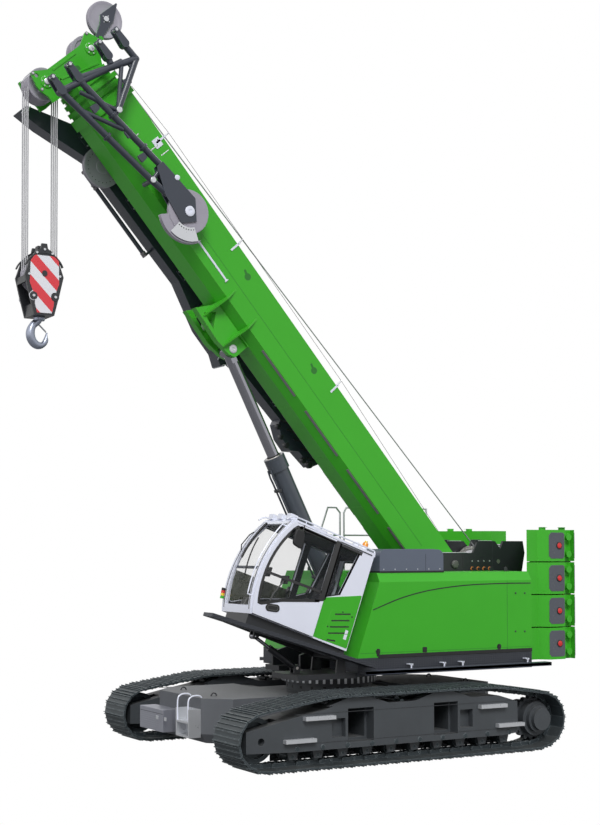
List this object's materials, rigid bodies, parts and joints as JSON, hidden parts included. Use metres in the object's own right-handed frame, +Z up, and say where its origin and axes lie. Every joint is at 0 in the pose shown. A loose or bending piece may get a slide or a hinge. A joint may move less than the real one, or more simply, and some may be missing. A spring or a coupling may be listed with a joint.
{
  "type": "telescopic crawler crane",
  "caption": "Crawler crane with tilting cab, telescopic boom, stowed jib, winches, counterweight stacks and hook block on two fixed tracks.",
  "frame": {"origin": "on the ground under the slewing axis", "axes": "+X towards the boom's head, +Y towards the cab's side, +Z up"},
  "size_m": [10.3803, 4.995, 12.5545],
  "materials": {
    "track_steel": "worn dark steel",
    "chassis_grey": "satin dark grey",
    "aluminium": "chequer plate and castings",
    "bare_steel": "machined",
    "black_paint": "satin black",
    "green_paint": "gloss green",
    "grey_paint": "satin blue-grey",
    "chrome_rod": "polished",
    "sheave_grey": "pale grey cast polyamide",
    "white_paint": "gloss white",
    "glass": "tinted",
    "seat_fabric": "woven black"
  },
  "bodies": {
    "undercarriage": {"track_left": "track_steel", "track_right": "track_steel", "track_frame_left": "chassis_grey", "track_frame_right": "chassis_grey", "drive_sprockets": "track_steel", "track_rollers": "track_steel", "car_body": "chassis_grey", "slewing_ring_gear": "chassis_grey", "car_body_ballast": "chassis_grey", "tool_box": "aluminium", "boarding_steps": "aluminium"},
    "superstructure": {"slewing_ring_bearing": "bare_steel", "deck_frame": "black_paint", "deck_pins": "bare_steel", "side_beams": "black_paint", "housings": "green_paint", "engine_block": "black_paint", "air_hood": "grey_paint", "winch_frame": "black_paint", "counterweights": "green_paint", "counterweight_carrier": "black_paint", "cab_console": "black_paint", "deck_rails": "bare_steel"},
    "winch_1": {"winch_drum_1": "bare_steel"},
    "winch_2": {"winch_drum_2": "bare_steel"},
    "boom": {"boom_base": "green_paint", "luff_pin": "bare_steel", "jib_frame": "grey_paint", "jib_box_section": "grey_paint", "jib_brackets": "grey_paint"},
    "jib_wheel": {"jib_sheave": "sheave_grey"},
    "jib_wheel_far": {"jib_sheave_far": "sheave_grey"},
    "luff_rod": {"luff_cylinder_rod": "chrome_rod"},
    "luff_barrel": {"luff_cylinder_barrel": "grey_paint"},
    "section_2": {"boom_section_2": "green_paint"},
    "section_3": {"boom_section_3": "green_paint"},
    "section_4": {"boom_section_4": "green_paint", "boom_head": "green_paint", "head_axles": "bare_steel"},
    "head_wheels": {"head_sheaves": "sheave_grey"},
    "return_wheels": {"return_sheaves": "sheave_grey"},
    "tip_wheel": {"tip_sheave": "sheave_grey"},
    "falls": {"rope_falls": "bare_steel"},
    "block": {"hook_block": "black_paint"},
    "block_wheels": {"block_sheaves": "sheave_grey"},
    "hook": {"hook": "bare_steel"},
    "cab": {"cab_shell": "white_paint", "cab_glass": "glass", "cab_seat": "seat_fabric", "cab_platform": "black_paint", "cab_base_frame": "black_paint", "cab_lamps": "white_paint"},
    "door": {"cab_door": "white_paint", "door_glass": "glass"},
    "tilt_barrel": {"tilt_cylinder_barrel": "black_paint"},
    "tilt_rod": {"tilt_cylinder_rod": "chrome_rod"}
  },
  "joints": [
    {"name": "slew", "type": "hinge", "parent": "undercarriage", "child": "superstructure", "pos_m": [0, 0, 1.255], "axis": [0, 0, 1], "continuous": true},
    {"name": "boom_luff", "type": "hinge", "parent": "superstructure", "child": "boom", "pos_m": [-2.609, 0, 2.847], "axis": [0, -1, 0], "range_deg": [-51.1, 32.9]},
    {"name": "luff_rod_swing", "type": "hinge", "parent": "boom", "child": "luff_rod", "pos_m": [2.06317, 0, 6.89665], "axis": [0, -1, 0], "range_deg": [-6.84, 4.48]},
    {"name": "luff_stroke", "type": "slide", "parent": "luff_rod", "child": "luff_barrel", "axis": [-0.4546, 0, -0.8907], "range_m": [-1.88291, 1.21585]},
    {"name": "telescope", "type": "slide", "parent": "boom", "child": "section_2", "axis": [0.6547, 0, 0.7559], "range_m": [0, 9.7]},
    {"name": "telescope_2", "type": "slide", "parent": "section_2", "child": "section_3", "axis": [0.6547, 0, 0.7559], "range_m": [0, 9.71]},
    {"name": "telescope_3", "type": "slide", "parent": "section_3", "child": "section_4", "axis": [0.6547, 0, 0.7559], "range_m": [0, 9.71]},
    {"name": "head_sheaves_turn", "type": "hinge", "parent": "section_4", "child": "head_wheels", "pos_m": [5.53026, 0, 10.94499], "axis": [0, 1, 0], "continuous": true},
    {"name": "return_sheaves_turn", "type": "hinge", "parent": "section_4", "child": "return_wheels", "pos_m": [4.76634, 0, 11.61333], "axis": [0, 1, 0], "continuous": true},
    {"name": "tip_sheave_turn", "type": "hinge", "parent": "section_4", "child": "tip_wheel", "pos_m": [4.40245, 0, 12.23946], "axis": [0, 1, 0], "continuous": true},
    {"name": "jib_sheave_turn", "type": "hinge", "parent": "boom", "child": "jib_wheel", "pos_m": [3.20251, 0, 9.02143], "axis": [0, 1, 0], "continuous": true},
    {"name": "jib_sheave_far_turn", "type": "hinge", "parent": "boom", "child": "jib_wheel_far", "pos_m": [4.22116, 0, 9.92247], "axis": [0, 1, 0], "continuous": true},
    {"name": "falls_hang", "type": "hinge", "parent": "section_4", "child": "falls", "pos_m": [5.53026, 0, 10.94499], "axis": [0, -1, 0], "range_deg": [-33, 51.2]},
    {"name": "hoist", "type": "slide", "parent": "falls", "child": "block", "axis": [0, 0, 1], "range_m": [-6.5, 1.5], "deforming": ["rope_falls"]},
    {"name": "block_sheaves_turn", "type": "hinge", "parent": "block", "child": "block_wheels", "pos_m": [5.53026, 0, 7.87], "axis": [0, 1, 0], "continuous": true},
    {"name": "hook_swivel", "type": "hinge", "parent": "block", "child": "hook", "pos_m": [5.53026, 0, 7.2], "axis": [0, 0, 1], "continuous": true},
    {"name": "winch_1_turn", "type": "hinge", "parent": "superstructure", "child": "winch_1", "pos_m": [-3.48, 0, 3.23], "axis": [0, 1, 0], "continuous": true},
    {"name": "winch_2_turn", "type": "hinge", "parent": "superstructure", "child": "winch_2", "pos_m": [-3.48, 0, 2.56], "axis": [0, 1, 0], "continuous": true},
    {"name": "cab_tilt", "type": "hinge", "parent": "superstructure", "child": "cab", "pos_m": [0.73281, 1.04, 1.69547], "axis": [0, 1, 0], "range_deg": [0, 20]},
    {"name": "door_slide", "type": "slide", "parent": "cab", "child": "door", "axis": [-0.9397, 0, -0.342], "range_m": [0, 0.75]},
    {"name": "tilt_barrel_swing", "type": "hinge", "parent": "superstructure", "child": "tilt_barrel", "pos_m": [1.35, 1.04, 1.48], "axis": [0, 1, 0], "range_deg": [-0.2, 33.1]},
    {"name": "tilt_stroke", "type": "slide", "parent": "tilt_barrel", "child": "tilt_rod", "axis": [0.8201, 0, 0.5722], "range_m": [-0.20711, 0.005]}
  ],
  "couplings": [
    {"joint": "luff_rod_swing", "follows": "boom_luff", "ratio": 0.13},
    {"joint": "luff_stroke", "follows": "boom_luff", "m_per_rad": 2.1},
    {"joint": "telescope_2", "follows": "telescope", "ratio": 1},
    {"joint": "telescope_3", "follows": "telescope", "ratio": 1},
    {"joint": "falls_hang", "follows": "boom_luff", "ratio": -1},
    {"joint": "tilt_barrel_swing", "follows": "cab_tilt", "ratio": 1.645},
    {"joint": "tilt_stroke", "follows": "cab_tilt", "m_per_rad": -0.579}
  ]
}
